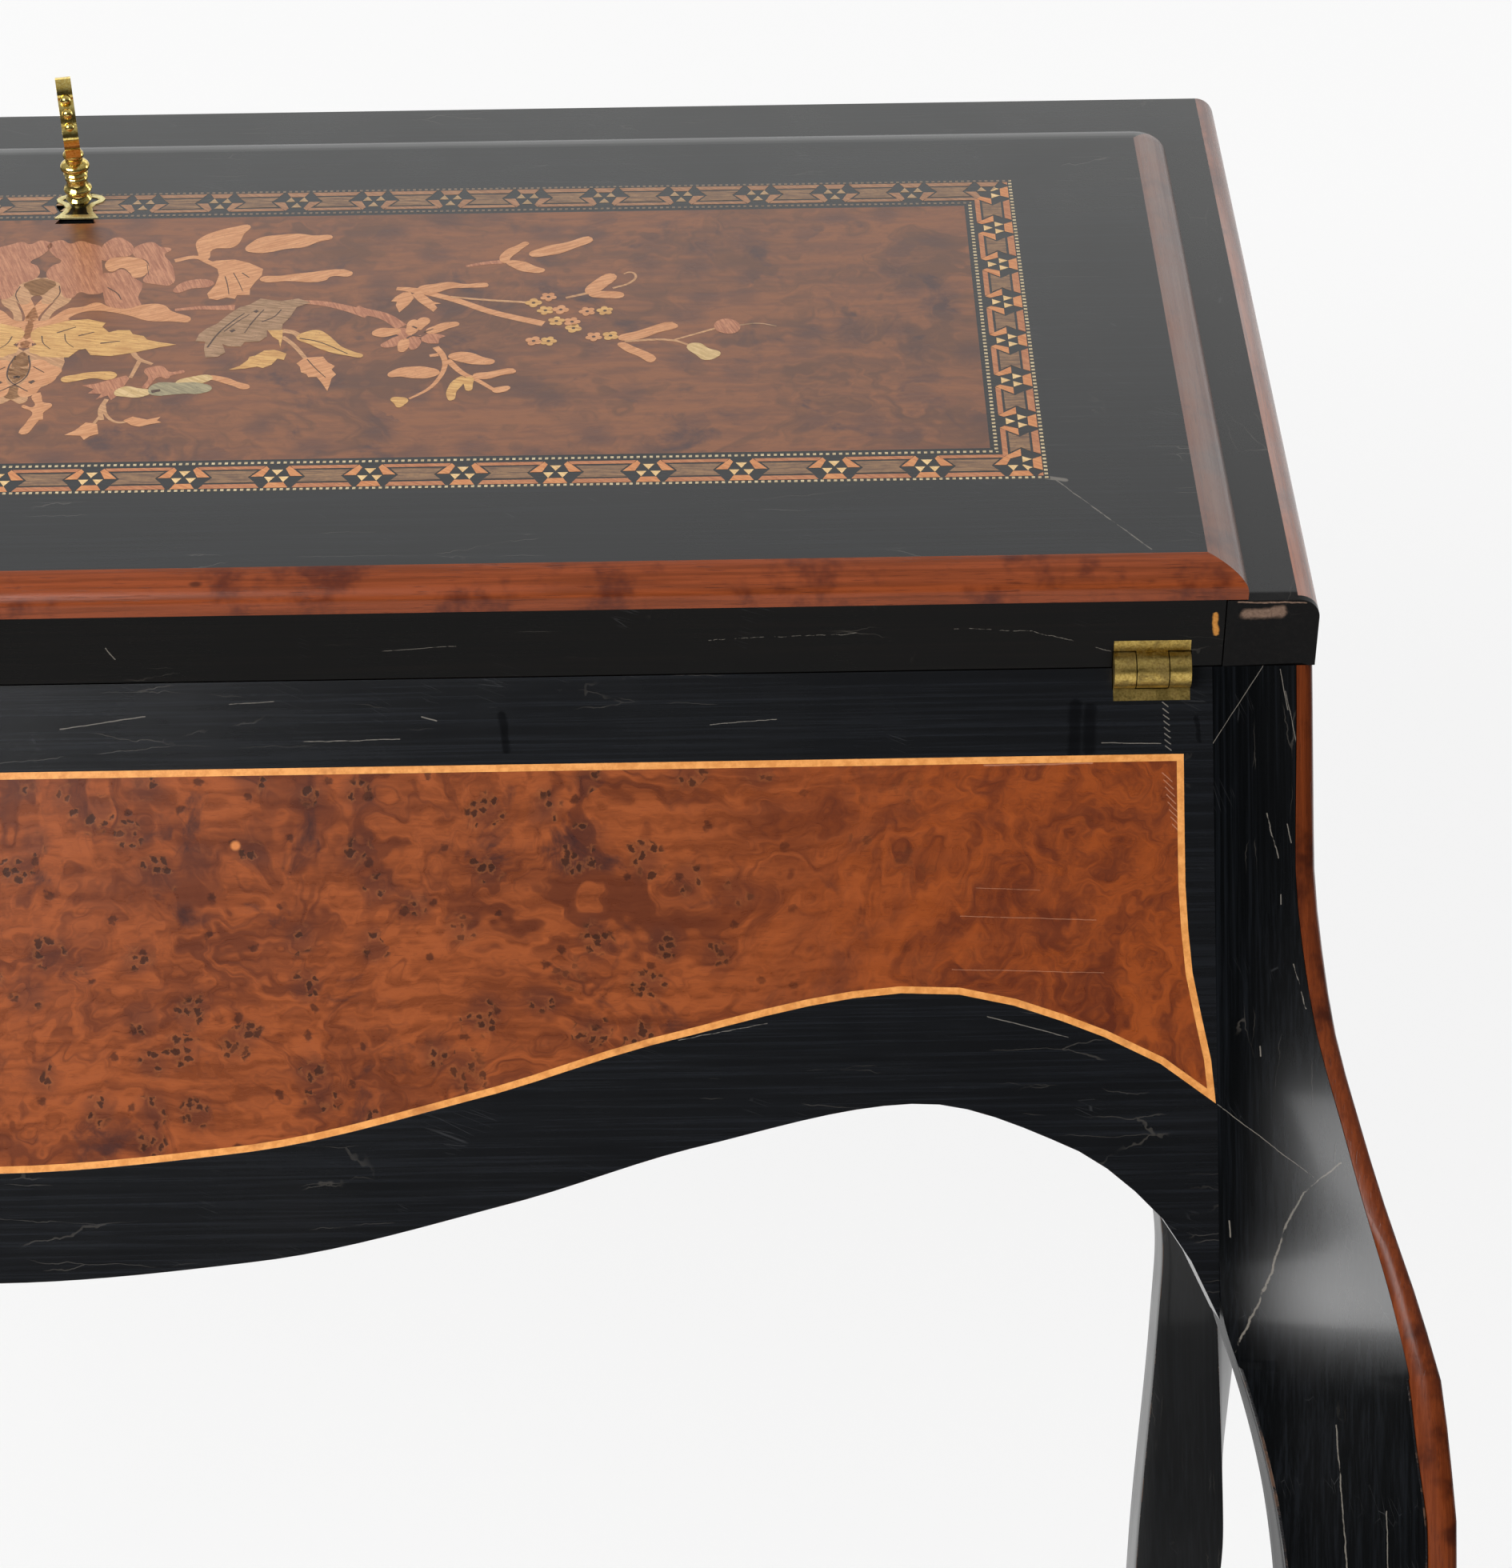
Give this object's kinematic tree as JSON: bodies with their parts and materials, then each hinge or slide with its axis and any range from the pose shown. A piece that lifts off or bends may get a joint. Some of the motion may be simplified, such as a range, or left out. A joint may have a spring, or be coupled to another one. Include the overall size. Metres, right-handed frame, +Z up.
{
  "type": "slant-front desk",
  "caption": "Ebonised slant-front writing desk on cabriole legs, with a marquetry fall lid, burr aprons, brass hinges, lock and key, a well under a sliding panel and a nest of drawers.",
  "frame": {"origin": "on the floor under the middle of the desk", "axes": "+X to the desk's right as seen from the front, +Y to the back, +Z up; the front faces -Y"},
  "size_m": [0.7932, 0.4925, 0.9275],
  "materials": {
    "ebonised_wood": "french polished",
    "red_moulding": "french polished",
    "burr_veneer": "french polished",
    "marquetry_ground": "french polished",
    "marquetry_banding": "french polished",
    "light_stringing": "french polished",
    "stained_oak": "dull stained",
    "interior_wood": "satin polished",
    "drawer_lining": "plain",
    "tooled_leather": "tooled, worn",
    "aged_brass": "aged",
    "polished_brass": "polished",
    "gilt_brass": "gilt"
  },
  "bodies": {
    "carcass": {"leg_front_left": "ebonised_wood", "leg_front_right": "ebonised_wood", "leg_rear_left": "ebonised_wood", "leg_rear_right": "ebonised_wood", "corner_strips": "red_moulding", "front_apron": "ebonised_wood", "front_panel": "burr_veneer", "front_stringing": "light_stringing", "side_apron_left": "ebonised_wood", "side_apron_right": "ebonised_wood", "side_panels": "burr_veneer", "side_stringing": "light_stringing", "rear_apron": "stained_oak", "gable_left": "ebonised_wood", "gable_right": "ebonised_wood", "gable_strips": "red_moulding", "top_rail": "ebonised_wood", "top_board": "ebonised_wood", "back_panel": "stained_oak", "carcass_floor": "stained_oak", "bearer_left": "stained_oak", "bearer_right": "stained_oak", "writing_board": "interior_wood", "nest_floor": "interior_wood", "nest_shelf": "interior_wood", "nest_end_left": "interior_wood", "nest_end_right": "interior_wood", "drawer_divider_left": "interior_wood", "drawer_divider_right": "interior_wood", "letter_divider_left": "interior_wood", "letter_divider_right": "interior_wood", "strike_plate": "aged_brass", "hinge_fixed_left": "aged_brass", "hinge_fixed_right": "aged_brass", "hinge_pins": "aged_brass"},
    "lid": {"lid_board": "ebonised_wood", "lid_face": "ebonised_wood", "lid_field": "marquetry_ground", "lid_banding": "marquetry_banding", "lid_moulding_bottom": "red_moulding", "lid_moulding_left": "red_moulding", "lid_moulding_right": "red_moulding", "lid_moulding_top": "ebonised_wood", "lid_leather": "tooled_leather", "hinge_leaf_left": "aged_brass", "hinge_leaf_right": "aged_brass", "lock_case": "aged_brass", "escutcheon": "polished_brass"},
    "key": {"key": "gilt_brass"},
    "bolt": {"lock_bolt": "aged_brass"},
    "well_cover": {"well_panel": "interior_wood"},
    "drawer_1": {"drawer_box_1": "drawer_lining", "drawer_front_1": "burr_veneer", "drawer_knob_1": "aged_brass"},
    "drawer_2": {"drawer_box_2": "drawer_lining", "drawer_front_2": "burr_veneer", "drawer_knob_2": "aged_brass"},
    "drawer_3": {"drawer_box_3": "drawer_lining", "drawer_front_3": "burr_veneer", "drawer_knob_3": "aged_brass"}
  },
  "joints": [
    {"name": "lid_hinge", "type": "hinge", "parent": "carcass", "child": "lid", "pos_m": [0, -0.2155, 0.7447], "axis": [1, 0, 0], "range_deg": [0, 143]},
    {"name": "key_turn", "type": "hinge", "parent": "lid", "child": "key", "pos_m": [0.004, -0.06612, 0.88474], "axis": [0, -0.6018, 0.7986], "range_deg": [0, 180]},
    {"name": "bolt_slide", "type": "slide", "parent": "lid", "child": "bolt", "axis": [0, 0.7986, 0.6018], "range_m": [0, 0.005]},
    {"name": "well_cover_slide", "type": "slide", "parent": "carcass", "child": "well_cover", "axis": [0, 1, 0], "range_m": [0, 0.125]},
    {"name": "drawer_1_slide", "type": "slide", "parent": "carcass", "child": "drawer_1", "axis": [0, -1, 0], "range_m": [0, 0.13]},
    {"name": "drawer_2_slide", "type": "slide", "parent": "carcass", "child": "drawer_2", "axis": [0, -1, 0], "range_m": [0, 0.13]},
    {"name": "drawer_3_slide", "type": "slide", "parent": "carcass", "child": "drawer_3", "axis": [0, -1, 0], "range_m": [0, 0.13]}
  ],
  "couplings": [
    {"joint": "bolt_slide", "follows": "key_turn", "m_per_rad": 0.0015884}
  ]
}
